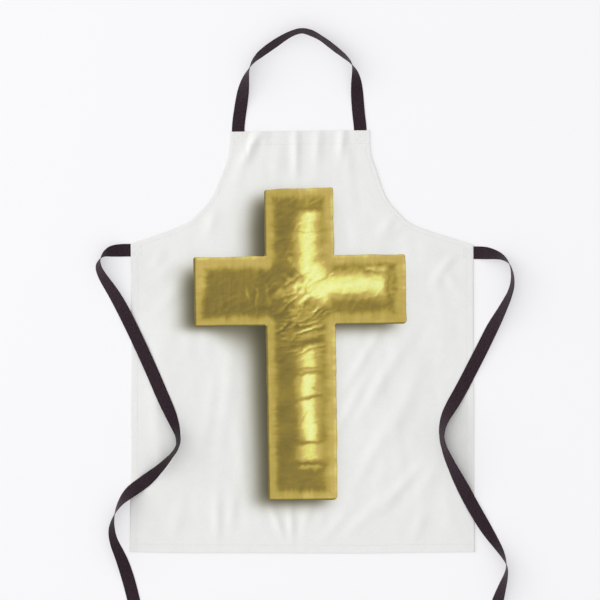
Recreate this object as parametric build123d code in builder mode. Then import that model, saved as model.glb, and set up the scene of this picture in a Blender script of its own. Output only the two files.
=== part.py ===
"""Bib apron laid out flat on its back: a canvas panel with folded hems, a webbing neck strap,
two webbing waist ties that lie loose beside and across it, and a printed Latin cross.

Frame: +X to the viewer's right, +Y towards the neck, +Z up out of the printed front.
The apron rests on z = 0. Millimetres throughout.
"""
from build123d import *
import math
import os

# ---------------------------------------------------------------- driving sizes
apron_length = 838.0        # top hem to bottom hem, 33 in
hem_width = 686.0           # across the bottom hem, 27 in
waist_width = 681.0         # across the underarm corners
bib_width = 279.0           # across the top hem, 11 in
bib_drop = 225.0            # top hem down to the underarm corners
bib_shift = -6.5            # how far to the left the bib's centre lies, as the cloth is laid

cloth = 0.6                 # canvas
top_hem_depth = 26.0        # edge to stitch row, as on the other hems
side_hem_depth = 14.0
bottom_hem_depth = 16.0
armhole_hem_depth = 9.0
hem_margin = 2.0            # how far the folded layers reach past their stitch row

tape_width = 25.4           # 1 in webbing
tape_thickness = 1.2
sewn_length = 22.0          # webbing held under a hem
neck_inset = 5.5            # webbing's outer edge to the bib's corner
tie_tip_fold = 20.0         # turned-over end of a waist tie

thread = 0.8                # width of a stitch row
thread_height = 0.2
row_gap = 2.0               # a stitch row stops this far from a crossing row or a sewn end
tack_size = 19.0            # side of a reinforcing box of stitches
print_height = 0.2          # the printed layer

cross_length = 619.0
cross_span = 421.0
cross_bar = 138.0           # width of both bars
cross_top_gap = 114.0       # top hem to the cross's head
cross_arm_drop = 134.0      # cross's head to the upper edge of its arms
cross_shift = -2.0          # cross's middle from the apron's centre line
cross_turn = 0.85           # degrees that the print sits out of square

fold_gap = 0.3              # clearance at the fold where the neck strap leaves the hem
seam_gap = 0.3              # clearance between a sewn end and the hem beside it
tie_lift = 0.3              # clearance under a tie where it crosses the panel
tie_margin = 4.0            # a tie is at its full height this far before its edge meets the panel
tie_ramp = 20.0             # length over which it rises there
tie_free = 100.0            # before this length a tie has not come back over the panel
station_step = 6.0          # spacing of the cross-sections along a strap, small beside its width

# Centre line of the neck strap, from its left sewn end over the top to its right one. Each point is
# a share of half the distance between its two legs, a height above the top hem, and the tilt of the
# tape in degrees. Tilt 0 lies flat; a growing tilt lifts the edge on the right of the way along it.
neck_route = [
    (-1, fold_gap, 0), (-1, 8, 0), (-0.985, 26, 0), (-0.955, 50, 4), (-0.922, 76, 22),
    (-0.884, 101, 52), (-0.841, 119, 80), (-0.763, 137.5, 102), (-0.651, 151, 120),
    (-0.523, 163, 126), (-0.392, 174, 126), (-0.256, 185, 120), (-0.111, 194.5, 114),
    (0.045, 200, 112), (0.206, 194.5, 117), (0.354, 184.5, 112), (0.49, 172.5, 115),
    (0.618, 160, 114), (0.746, 148, 108), (0.861, 134, 93), (0.919, 116, 60), (0.939, 94, 31),
    (0.952, 66, 8), (0.974, 33, 0), (1, 8, 0), (1, fold_gap, 0),
]

# Centre lines of the waist ties, from the underarm corner to the tip: across and up from that
# corner, then the tilt.
left_tie_route = [
    (0, -12, 0), (-20.5, -12, 6), (-40.5, -14, 34), (-58.5, -23, 82), (-66.5, -41, 116),
    (-60, -60, 132), (-38, -92.5, 151), (-23, -118, 165), (-8.5, -146, 178), (16, -197, 180),
    (41, -252, 180), (63.5, -305, 184), (81.5, -344, 212), (94.5, -381, 247), (93.5, -402, 255),
    (81, -420, 250), (54, -449, 226), (22.5, -475.5, 184), (-0.5, -491, 158), (-21, -512, 118),
    (-34, -537, 90), (-39.5, -564, 64), (-35.5, -590, 50), (-19, -625, 28), (-6.5, -663, 5),
    (3.5, -701, 0), (12, -741, 0), (19.5, -781, 0), (25, -817, 0),
]
right_tie_route = [
    (0, -17, 0), (18.5, -17, 6), (37.5, -19.5, 36), (56.5, -25, 63), (71, -38, 88), (76.5, -58, 99),
    (77, -78, 107), (72, -98, 115), (55.5, -132, 133), (36.5, -167, 160), (19, -203, 172),
    (-8, -256, 180), (-28.5, -295, 179), (-47.5, -327, 156), (-57, -344.5, 136), (-63, -363.5, 120),
    (-64.5, -383, 111), (-60, -403.5, 115), (-44.5, -440, 136), (-7.5, -511, 180), (8.5, -539, 186),
    (22.5, -562.5, 200), (33.5, -579.5, 216), (55.5, -612.5, 242), (66, -637.5, 270),
    (64.5, -656, 286), (55.5, -683, 309), (44.5, -719, 338), (35.5, -760, 360), (29.5, -801, 360),
]

# ---------------------------------------------------------------- worked-out places
panel_bottom = max(2 * cloth, tape_thickness)   # two folded layers or the webbing lift the panel
panel_top = panel_bottom + cloth
neck_rise = max(y + tape_width / 2 * abs(math.cos(math.radians(a))) for _, y, a in neck_route)
top_y = (apron_length - neck_rise) / 2      # puts the origin under the middle of the whole apron
bottom_y = top_y - apron_length
waist_y = top_y - bib_drop
neck_half = bib_width / 2 - neck_inset - tape_width / 2
os.makedirs("parts", exist_ok=True)


def save(part, label):
    """Label a finished piece and write it to its own file."""
    part.label = label
    export_step(part, f"parts/{label}.step")


def laid(x, y):
    """A point of the panel as it lies: the bib leans over by bib_shift at its top."""
    return (x + bib_shift * max(0.0, (y - waist_y) / bib_drop), y)


def side_x(y):
    """Half the panel's width at a height between the bottom hem and the underarm."""
    return (hem_width + (waist_width - hem_width) * (y - bottom_y) / (waist_y - bottom_y)) / 2


# ---------------------------------------------------------------- panel outline
# The armhole leaves the top corner almost straight down and sweeps out to the underarm.
armhole_shape = [(0.0, 0.0), (0.074, 0.362), (0.158, 0.578), (0.292, 0.716), (0.475, 0.84), (1.0, 1.0)]


def armhole_points(side):
    """The armhole's points on one side: -1 is the left, 1 the right."""
    reach = (waist_width - bib_width) / 2
    return [laid(side * (bib_width / 2 + u * reach), top_y - v * bib_drop) for u, v in armhole_shape]


def armhole_curve(side, mode=Mode.ADD):
    """The armhole's edge as one curve, tangent at both ends."""
    return Spline(*armhole_points(side), tangents=[(side * 0.02, -1), (side * 0.945, -0.327)], mode=mode)


def inner_curve(side, inset):
    """Points of the line that runs at a set distance inside the armhole's edge."""
    edge = armhole_curve(side, mode=Mode.PRIVATE)
    steps = [n / 12 for n in range(13)]
    return [edge @ u + Vector((edge % u).Y, -(edge % u).X) * (side * inset) for u in steps]


corners = {s: (armhole_points(s)[0], armhole_points(s)[-1], (s * hem_width / 2, bottom_y)) for s in (-1, 1)}

with BuildPart() as front_panel:
    with BuildSketch(Plane.XY.offset(panel_bottom)):
        with BuildLine():
            Line(corners[-1][0], corners[1][0])
            for side in (-1, 1):
                armhole_curve(side)
                Line(corners[side][1], corners[side][2])
            Line(corners[-1][2], corners[1][2])
        make_face()
    extrude(amount=cloth)
save(front_panel.part, "front_panel")


# ---------------------------------------------------------------- folded hems
side_name = {-1: "left", 1: "right"}
tie_route = {-1: left_tie_route, 1: right_tie_route}
tie_y = {side: waist_y + tie_route[side][0][1] for side in (-1, 1)}
tie_x = {side: side * waist_width / 2 for side in (-1, 1)}
neck_x = {side: bib_shift + side * neck_half for side in (-1, 1)}


def tie_keep_out(side, gap):
    """The rectangle under a waist tie's sewn end, grown by a gap: its centre and its size."""
    centre = (tie_x[side] - side * sewn_length / 2, tie_y[side])
    return centre, (sewn_length + 2 * gap, tape_width + 2 * gap)


with BuildPart() as top_hem:
    depth = top_hem_depth + hem_margin
    with BuildSketch():
        with Locations((bib_shift, top_y - depth / 2)):
            Rectangle(bib_width - 2 * seam_gap, depth)
        for side in (-1, 1):
            with Locations((neck_x[side], top_y - sewn_length / 2)):
                Rectangle(tape_width + 2 * seam_gap, sewn_length + 2 * seam_gap, mode=Mode.SUBTRACT)
    extrude(amount=panel_bottom)
save(top_hem.part, "top_hem_fold")

with BuildPart() as bottom_hem:
    with BuildSketch():
        with BuildLine():
            low, high = bottom_y, bottom_y + bottom_hem_depth + hem_margin
            Polyline((-side_x(low), low), (side_x(low), low), (side_x(high), high), (-side_x(high), high),
                     close=True)
        make_face()
    extrude(amount=panel_bottom)
save(bottom_hem.part, "bottom_hem_fold")

side_low = bottom_y + bottom_hem_depth + hem_margin + seam_gap
for side in (-1, 1):
    side_high = tie_y[side] - tape_width / 2 - seam_gap
    with BuildPart() as side_hem:
        with BuildSketch():
            with BuildLine():
                width = side_hem_depth + hem_margin
                Polyline((side * side_x(side_low), side_low), (side * side_x(side_high), side_high),
                         (side * (side_x(side_high) - width), side_high),
                         (side * (side_x(side_low) - width), side_low), close=True)
            make_face()
        extrude(amount=panel_bottom)
    save(side_hem.part, f"side_hem_fold_{side_name[side]}")


def armhole_band(side, near, far):
    """The face between two lines that follow the armhole, at two distances from its edge."""
    with BuildSketch() as band:
        with BuildLine():
            outer = armhole_curve(side) if near == 0 else Spline(*inner_curve(side, near))
            inner = Spline(*inner_curve(side, far))
            Line(outer @ 0, inner @ 0)
            Line(outer @ 1, inner @ 1)
        make_face()
    return band.sketch


for side in (-1, 1):
    with BuildPart() as armhole_hem:
        with BuildSketch():
            add(armhole_band(side, 0, armhole_hem_depth + hem_margin))
            with Locations((0, top_y)):
                Rectangle(bib_width * 2, 2 * (top_hem_depth + hem_margin + seam_gap), mode=Mode.SUBTRACT)
            centre, size = tie_keep_out(side, seam_gap)
            with Locations((centre[0] + side * side_hem_depth, centre[1])):
                Rectangle(size[0] + 2 * side_hem_depth, size[1] + 2 * armhole_hem_depth, mode=Mode.SUBTRACT)
        extrude(amount=panel_bottom)
    save(armhole_hem.part, f"armhole_hem_fold_{side_name[side]}")

# ---------------------------------------------------------------- sewn ends of the webbing
for side in (-1, 1):
    with BuildPart() as neck_end:
        with BuildSketch():
            with Locations((neck_x[side], top_y - sewn_length / 2)):
                Rectangle(tape_width, sewn_length)
        extrude(amount=tape_thickness)
    save(neck_end.part, f"neck_strap_end_{side_name[side]}")

    with BuildPart() as tie_end:
        centre, size = tie_keep_out(side, 0)
        with BuildSketch():
            with Locations(centre):
                Rectangle(*size)
        extrude(amount=tape_thickness)
    save(tie_end.part, f"waist_tie_end_{side_name[side]}")


# ---------------------------------------------------------------- straps that lie and twist
def bend_radii(points):
    """A radius for each corner of a route: 0.45 of the shorter run over the tangent of half the turn."""
    radii = []
    for a, b, c in zip(points, points[1:], points[2:]):
        into, out = Vector(*b) - Vector(*a), Vector(*c) - Vector(*b)
        half_turn = math.radians(into.get_angle(out)) / 2
        radii.append(0.45 * min(into.length, out.length) / math.tan(max(half_turn, 1e-3)))
    return radii


def ground(point, travelled):
    """Height of what a tie lies on: the table, the apron's front, or the ramp between them."""
    if travelled < tie_free:
        return 0
    inside = min(side_x(point.Y) - abs(point.X), point.Y - bottom_y)
    climb = (inside + tape_width / 2 + tie_margin + tie_ramp) / tie_ramp
    return (panel_top + tie_lift) * min(1, max(0, climb))


def between(u, marks, values):
    """The value at u on the broken line through the marks and their values."""
    for a, b, low, high in zip(marks, marks[1:], values, values[1:]):
        if u <= b:
            return low + (high - low) * (u - a) / (b - a)
    return values[-1]


def tape(name, points, tilts, surface):
    """A flat tape carried along a route, its lower edge on the surface under it."""
    radii = bend_radii(points)
    with BuildLine(mode=Mode.PRIVATE) as route:
        FilletPolyline(*points, radius=radii)
    path = route.wire()
    runs = [math.dist(a, b) for a, b in zip(points, points[1:])]
    marks = [sum(runs[:n]) / sum(runs) for n in range(len(points))]
    count = math.ceil(path.length / station_step)
    with BuildPart() as strap:
        for n in range(count + 1):
            u = n / count
            tilt = math.radians(between(u, marks, tilts))
            base = surface(path @ u, u * path.length)
            along = path % u
            rise = abs(tape_width / 2 * math.sin(tilt)) + abs(tape_thickness / 2 * math.cos(tilt))
            across = Vector(along.Y, -along.X) * math.cos(tilt) + Vector(0, 0, math.sin(tilt))
            with BuildSketch(Plane((path @ u) + Vector(0, 0, base + rise), x_dir=across, z_dir=along)):
                Rectangle(tape_width, tape_thickness)
        loft(ruled=True)
    filled = strap.part.volume / (tape_width * tape_thickness * path.length)
    print(f"{name}: length {path.length:.0f} mm, tightest bend {min(radii):.0f} mm, "
          f"volume {filled:.3f} of section times length")
    return strap.part


neck_points = [(bib_shift + share * neck_half, top_y + y) for share, y, _ in neck_route]
neck_strap = tape("neck_strap", neck_points, [tilt for *_, tilt in neck_route], lambda *_: 0)
save(neck_strap, "neck_strap")

for side, route in tie_route.items():
    name = f"waist_tie_{side_name[side]}"
    points = [(tie_x[side] + x, waist_y + y) for x, y, _ in route]
    save(tape(name, points, [tilt for *_, tilt in route], ground), name)

    # The tip is turned over once on itself and sewn down.
    end, before = Vector(*points[-1]), Vector(*points[-2])
    along = (end - before).normalized()
    middle = end - along * (tie_tip_fold / 2) + Vector(0, 0, ground(end, apron_length) + tape_thickness)
    with BuildPart() as tip:
        with BuildSketch(Plane(middle, x_dir=along, z_dir=(0, 0, 1))):
            Rectangle(tie_tip_fold, tape_width)
        extrude(amount=tape_thickness)
    save(tip.part, f"tie_tip_{side_name[side]}")

# ---------------------------------------------------------------- printed cross
with BuildPart() as cross_print:
    with BuildSketch(Plane.XY.offset(panel_top)):
        with Locations(Location((cross_shift, top_y - cross_top_gap - cross_length / 2), cross_turn)):
            Rectangle(cross_bar, cross_length)
            with Locations((0, cross_length / 2 - cross_arm_drop - cross_bar / 2)):
                Rectangle(cross_span, cross_bar)
    extrude(amount=print_height)
save(cross_print.part, "cross_print")

# ---------------------------------------------------------------- stitch rows
front = Plane.XY.offset(panel_top)
with BuildPart() as top_row:
    with BuildSketch(front):
        with Locations((bib_shift, top_y - top_hem_depth)):
            Rectangle(bib_width - 2 * row_gap, thread)
    extrude(amount=thread_height)
save(top_row.part, "top_hem_stitching")

with BuildPart() as bottom_row:
    with BuildSketch(front):
        with Locations((0, bottom_y + bottom_hem_depth)):
            Rectangle(hem_width - 2 * row_gap, thread)
    extrude(amount=thread_height)
save(bottom_row.part, "bottom_hem_stitching")

for side in (-1, 1):
    row_low = bottom_y + bottom_hem_depth + row_gap
    row_high = tie_y[side] - tape_width / 2 - row_gap
    with BuildPart() as side_row:
        with BuildSketch(front):
            with BuildLine():
                Polyline((side * (side_x(row_low) - side_hem_depth), row_low),
                         (side * (side_x(row_high) - side_hem_depth), row_high),
                         (side * (side_x(row_high) - side_hem_depth - thread), row_high),
                         (side * (side_x(row_low) - side_hem_depth - thread), row_low), close=True)
            make_face()
        extrude(amount=thread_height)
    save(side_row.part, f"side_hem_stitching_{side_name[side]}")

    with BuildPart() as armhole_row:
        with BuildSketch(front):
            add(armhole_band(side, armhole_hem_depth, armhole_hem_depth + thread))
            with Locations((0, top_y)):
                Rectangle(bib_width * 2, 2 * (top_hem_depth + row_gap), mode=Mode.SUBTRACT)
            centre, size = tie_keep_out(side, row_gap)
            with Locations(centre):
                Rectangle(size[0], size[1] + 2 * armhole_hem_depth, mode=Mode.SUBTRACT)
        extrude(amount=thread_height)
    save(armhole_row.part, f"armhole_stitching_{side_name[side]}")


def tack(centre, label):
    """A box of stitches crossed corner to corner, which holds a webbing end."""
    with BuildPart() as box_tack:
        with BuildSketch(front):
            with Locations(centre):
                Rectangle(tack_size, tack_size)
                Rectangle(tack_size - 2 * thread, tack_size - 2 * thread, mode=Mode.SUBTRACT)
                for turn in (-45, 45):
                    Rectangle(tack_size * math.sqrt(2) - 2 * thread, thread, rotation=turn)
        extrude(amount=thread_height)
    save(box_tack.part, label)


for side in (-1, 1):
    tack((neck_x[side], top_y - sewn_length / 2), f"neck_tack_{side_name[side]}")
    tack(tie_keep_out(side, 0)[0], f"tie_tack_{side_name[side]}")

print(f"top edge y {top_y:.3f}, underarm y {waist_y:.3f}, bottom edge y {bottom_y:.3f}, "
      f"neck rise {neck_rise:.3f}, front z {panel_top:.3f}")
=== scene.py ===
# %% [markdown]
# # A bib apron, laid out flat
#
# The apron is a panel of white canvas with folded hems, a neck strap and two waist ties of dark
# webbing, and a large printed cross. It lies on its back on a pale table and is seen from above.
# The frame comes first: its plain parts say where everything is, and each piece made here lies
# where its part lies. All lengths are in metres.

# %% Load the frame
import math
import bpy
import numpy as np
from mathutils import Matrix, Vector


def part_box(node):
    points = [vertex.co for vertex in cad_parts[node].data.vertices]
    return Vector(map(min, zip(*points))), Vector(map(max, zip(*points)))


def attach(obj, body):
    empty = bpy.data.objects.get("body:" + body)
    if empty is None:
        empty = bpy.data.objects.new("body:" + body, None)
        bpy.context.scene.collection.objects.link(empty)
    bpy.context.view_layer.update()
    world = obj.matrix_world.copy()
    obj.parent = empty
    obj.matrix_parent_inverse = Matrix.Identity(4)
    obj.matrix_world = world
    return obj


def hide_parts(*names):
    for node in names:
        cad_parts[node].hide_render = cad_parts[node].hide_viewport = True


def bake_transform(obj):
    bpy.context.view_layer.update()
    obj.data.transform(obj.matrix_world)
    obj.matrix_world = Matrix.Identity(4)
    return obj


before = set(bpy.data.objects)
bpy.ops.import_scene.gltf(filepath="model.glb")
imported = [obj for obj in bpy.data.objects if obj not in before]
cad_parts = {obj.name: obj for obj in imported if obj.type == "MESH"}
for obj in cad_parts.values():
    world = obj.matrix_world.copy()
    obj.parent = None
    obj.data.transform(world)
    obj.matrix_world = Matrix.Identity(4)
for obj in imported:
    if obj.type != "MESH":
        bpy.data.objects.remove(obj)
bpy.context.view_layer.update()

MM = 0.001

# %% [markdown]
# ## Places read from the frame
#
# The top hem, the underarm corners and the bottom hem are the three lines everything else is
# measured from. The hinge of the neck strap lies on the top hem.


# %% Datum lines and sizes
def middle_of(node):
    """The middle of a node's box."""
    low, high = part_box(node)
    return (low + high) / 2


SIDES = (("left", -1), ("right", 1))     # each side's name, and which way out it is in x
TAPE_WIDTH, TAPE_THICK = 25.4 * MM, 1.2 * MM
CLOTH = 0.6 * MM
ARMHOLE_DROP = 225 * MM
panel_low, panel_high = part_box("front_panel")
TOP, BOTTOM, FRONT = panel_high.y, panel_low.y, panel_high.z
UNDERARM = TOP - ARMHOLE_DROP
left_leg, right_leg = middle_of("neck_strap_end_left").x, middle_of("neck_strap_end_right").x
BIB_MIDDLE = (left_leg + right_leg) / 2
NECK_HALF = (right_leg - left_leg) / 2
CORNER = {"left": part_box("waist_tie_end_left")[0].x, "right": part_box("waist_tie_end_right")[1].x}
print(f"top {TOP:.4f}, underarm {UNDERARM:.4f}, bottom {BOTTOM:.4f}, bib middle {BIB_MIDDLE:.4f}")

# %% [markdown]
# ## Small tools
#
# A fabric is easier to believe when nothing on it is quite regular, so the first tool is a smooth
# noise. The others turn arrays of points into meshes. A surface is always a grid: two numbers
# count across it, and every point is worked out from them at once.


# %% Smooth noise
def noise(x, y, size, seed):
    """Value noise from -1 to 1: seeded random numbers on a lattice of that size, blended smoothly
    between the four nearest."""
    lattice = np.random.default_rng(seed).uniform(-1, 1, (64, 64))
    u, v = np.asarray(x) / size, np.asarray(y) / size
    i, j = np.floor(u).astype(int), np.floor(v).astype(int)
    f, g = u - i, v - j
    f, g = f * f * (3 - 2 * f), g * g * (3 - 2 * g)
    i, j, i1, j1 = i % 64, j % 64, (i + 1) % 64, (j + 1) % 64
    low = lattice[i, j] * (1 - f) + lattice[i1, j] * f
    high = lattice[i, j1] * (1 - f) + lattice[i1, j1] * f
    return low * (1 - g) + high * g


def step(low, high, x):
    """0 below low, 1 above high, and an S-shaped blend between them."""
    t = np.clip((x - low) / (high - low), 0, 1)
    return t * t * (3 - 2 * t)


# %% Meshes from grids
def make_mesh(name, points, faces, smooth=True):
    """A mesh object at the origin from an array of points and an array of four-cornered faces."""
    mesh = bpy.data.meshes.new(name)
    mesh.from_pydata(points.reshape(-1, 3), [], faces.reshape(-1, 4).tolist())
    mesh.validate()
    mesh.polygons.foreach_set("use_smooth", np.full(len(mesh.polygons), smooth))
    obj = bpy.data.objects.new(name, mesh)
    bpy.context.scene.collection.objects.link(obj)
    print(f"{name}: {len(mesh.vertices)} points, {len(mesh.polygons)} faces")
    return obj


def grid_faces(rows, columns, wrap=False):
    """The faces of a grid of points, row by row; with wrap, the last column joins the first."""
    across = np.arange(columns if wrap else columns - 1)
    down = np.arange(rows - 1)[:, None]
    a, b = down * columns + across, down * columns + (across + 1) % columns
    return np.stack([a, b, b + columns, a + columns], axis=-1).reshape(-1, 4)


def slab(name, x, y, top, bottom, keep=None):
    """A closed sheet of cloth over a grid: one surface at the heights top, one at the heights
    bottom, and a wall round the rim. keep says which cells of the grid have cloth. Rows run
    down and columns across, so the upper faces are turned over to point up."""
    rows, columns = x.shape
    upper = np.stack([x, y, top], axis=-1).reshape(-1, 3)
    lower = np.stack([x, y, bottom], axis=-1).reshape(-1, 3)
    cells = grid_faces(rows, columns)
    keep = np.ones(len(cells), bool) if keep is None else keep.reshape(-1)
    cells = cells[keep]
    count = rows * columns
    edges = np.concatenate([cells[:, [k, (k + 1) % 4]] for k in range(4)])
    code = edges[:, 0] * count + edges[:, 1]
    back = edges[:, 1] * count + edges[:, 0]
    rim = edges[~np.isin(code, back)]
    wall = np.stack([rim[:, 0], rim[:, 1], rim[:, 1] + count, rim[:, 0] + count], axis=-1)
    faces = np.concatenate([cells[:, ::-1], cells + count, wall])
    used, faces = np.unique(faces, return_inverse=True)
    return make_mesh(name, np.concatenate([upper, lower])[used], faces.reshape(-1, 4))


def paint(obj, name, colour):
    """Stores a colour for every point of a mesh, one row of red, green and blue each."""
    layer = obj.data.attributes.new(name, "FLOAT_COLOR", "POINT")
    layer.data.foreach_set("color", np.c_[colour, np.ones(len(colour))].ravel().astype(np.float32))


def points_of(obj):
    """The points of a mesh as an array."""
    co = np.empty(len(obj.data.vertices) * 3)
    obj.data.vertices.foreach_get("co", co)
    return co.reshape(-1, 3)


# %% [markdown]
# ## The camera
#
# The apron lies flat, so the camera hangs straight above it and looks down, far enough away for
# the edges to stay square. It takes in 1.19 m, which cuts off the ends of the waist ties.

# %% Camera
camera_data = bpy.data.cameras.new("overhead_camera")
camera_data.sensor_width = 36.0
VIEW_WIDTH, CAMERA_HEIGHT = 1.193, 12.0
VIEW_MIDDLE = (-0.005, TOP - 0.336)
camera_data.lens = camera_data.sensor_width * CAMERA_HEIGHT / VIEW_WIDTH
camera = bpy.data.objects.new("overhead_camera", camera_data)
camera.location = (*VIEW_MIDDLE, CAMERA_HEIGHT)
bpy.context.scene.collection.objects.link(camera)
bpy.context.scene.camera = camera

# %% [markdown]
# ## How the canvas lies
#
# Canvas that was folded away and is laid out again never lies quite flat. It keeps long shallow
# ridges and a few sharp creases. Each is written here as a place, a direction, a length, a width
# and a height. Every other piece that lies on the canvas asks this one function how high it is.


# %% Armholes
# Out from the bib's middle and down from the top hem.
ARMHOLE = {
    "left": [(0.1385, 0), (0.1415, -0.0437), (0.1535, -0.0815), (0.1735, -0.1272), (0.199, -0.161),
             (0.237, -0.1889), (0.3345, -0.2238)],
    "right": [(0.1405, 0), (0.1425, -0.0437), (0.1545, -0.0815), (0.172, -0.1300), (0.196, -0.161),
              (0.234, -0.1895), (0.3460, -0.2265)],
}
FOOT_CORNER = {"left": (-0.3435, 5), "right": (0.3425, 6)}     # x at the bottom hem, noise seed


def armhole(side):
    """Points down one armhole, a smooth curve (Catmull-Rom) through the chosen places."""
    p = np.array(ARMHOLE[side])
    p = np.vstack([2 * p[0] - p[1], p, 2 * p[-1] - p[-2]])
    t = np.linspace(0, 1, 24, endpoint=False)[:, None]
    spans = [0.5 * (2 * b + (c - a) * t + (2 * a - 5 * b + 4 * c - d) * t**2
                    + (3 * b - a - 3 * c + d) * t**3) for a, b, c, d in zip(p, p[1:], p[2:], p[3:])]
    return np.vstack(spans + [p[-2:-1]])


def edge_x(side, y):
    """How far out the panel reaches at a height: the armhole above the underarm corner, and
    below it an almost straight side that wanders by a millimetre or two."""
    sign = dict(SIDES)[side]
    curve = armhole(side)
    corner = BIB_MIDDLE + sign * curve[-1, 0]
    down = y - TOP
    upper = BIB_MIDDLE + sign * np.interp(-down, -curve[:, 1], curve[:, 0])
    reach = (curve[-1, 1] - down) / (curve[-1, 1] - (BOTTOM - TOP))
    foot, seed = FOOT_CORNER[side]
    wander = noise(y, 0 * y, 0.11, seed) * 0.9 * MM
    lower = corner + (foot - corner) * np.clip(reach, 0, 1) + wander
    return np.where(down > curve[-1, 1], upper, lower)


# %% Folds and creases
# x, y below the top hem, direction in degrees (90 runs up and down), length, width, height.
FOLDS = [
    (-0.100, -0.026, 60, 0.075, 0.013, 5.2), (-0.074, -0.012, 84, 0.050, 0.012, 1.6),
    (-0.013, -0.032, 90, 0.100, 0.011, 2.9), (0.030, -0.028, 86, 0.080, 0.012, 2.2),
    (0.078, -0.020, 84, 0.065, 0.011, 3.0), (0.090, -0.050, 95, 0.080, 0.016, 1.4),
    (-0.050, -0.060, 88, 0.080, 0.018, 1.2), (-0.130, -0.085, 70, 0.070, 0.018, 1.4),
    (-0.182, -0.178, 75, 0.050, 0.014, 2.4), (0.178, -0.178, 55, 0.060, 0.015, 2.8),
    (0.196, -0.190, 40, 0.035, 0.010, 2.2), (0.290, -0.262, 40, 0.040, 0.010, 1.6),
    (0.300, -0.300, 130, 0.060, 0.012, 1.6), (0.270, -0.290, 60, 0.050, 0.012, 1.2),
    (-0.290, -0.260, 60, 0.060, 0.014, 1.2), (-0.260, -0.330, 45, 0.090, 0.016, 1.2),
    (-0.275, -0.280, 40, 0.070, 0.014, 1.0),
    (0.125, -0.445, 60, 0.140, 0.013, 1.9), (0.155, -0.500, 58, 0.170, 0.016, 2.0),
    (0.100, -0.540, 62, 0.130, 0.014, 1.8), (0.195, -0.560, 66, 0.150, 0.018, 1.5),
    (0.140, -0.640, 62, 0.120, 0.015, 1.5), (0.190, -0.715, 48, 0.130, 0.013, 2.1),
    (0.130, -0.760, 45, 0.120, 0.014, 1.7), (0.250, -0.690, 60, 0.120, 0.020, 1.2),
    (-0.150, -0.520, 84, 0.200, 0.018, 1.6), (-0.185, -0.560, 80, 0.180, 0.016, 1.3),
    (-0.120, -0.640, 96, 0.180, 0.016, 1.5), (-0.215, -0.640, 70, 0.120, 0.018, 1.2),
    (-0.170, -0.775, 90, 0.100, 0.011, 1.7), (-0.140, -0.760, 84, 0.080, 0.012, 1.3),
    (-0.050, -0.775, 112, 0.090, 0.009, 2.1), (-0.022, -0.785, 92, 0.090, 0.009, 2.4),
    (0.010, -0.760, 75, 0.080, 0.012, 1.3), (-0.250, -0.780, 75, 0.100, 0.016, 1.2),
    (0.060, -0.790, 50, 0.090, 0.012, 1.3), (0.230, -0.790, 70, 0.090, 0.014, 1.2),
]
FOLD_HEIGHT, FOLD_WIDTH = 1.7, 1 / 1.15  # all folds at once: taller and narrower than listed


def fold_relief(x, y):
    """The sum of all folds: each is a ridge whose height falls off smoothly across its width and
    towards the ends of its length, and beside it the cloth dips a little."""
    total = np.zeros(np.shape(x))
    for fx, fy, turn, length, width, height in FOLDS:
        c, s = math.cos(math.radians(turn)), math.sin(math.radians(turn))
        dx, dy = x - fx, y - TOP - fy
        along = (dx * c + dy * s) / (length / 2)
        across = (dy * c - dx * s) / (width * FOLD_WIDTH)
        ridge = np.exp(-across**2) - 0.35 * np.exp(-(across / 2.2)**2)
        total += FOLD_HEIGHT * height * MM * np.exp(-along**2) * ridge
    return total


# %% Height of the canvas
# The hems lie flat. The cloth between them rests a little higher, on its own folds.
REST_HEIGHT = 2.8 * MM
# How far in from the edge each row of stitches runs.
TOP_ROW, SIDE_ROW, BOTTOM_ROW, ARM_ROW = 26 * MM, 14 * MM, 16 * MM, 9 * MM
STITCH_DIP, RIM_ROLL, PUCKER = 0.08 * MM, 0.35 * MM, 0.13 * MM


def armhole_distance(x, y):
    """How far a place lies from the nearest of a few dozen points down the armholes."""
    near = np.full(np.shape(x), 1.0)
    for side, sign in SIDES:
        for out, down in armhole(side)[::2]:
            near = np.minimum(near, np.hypot(x - BIB_MIDDLE - sign * out, y - TOP - down))
    return near


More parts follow.
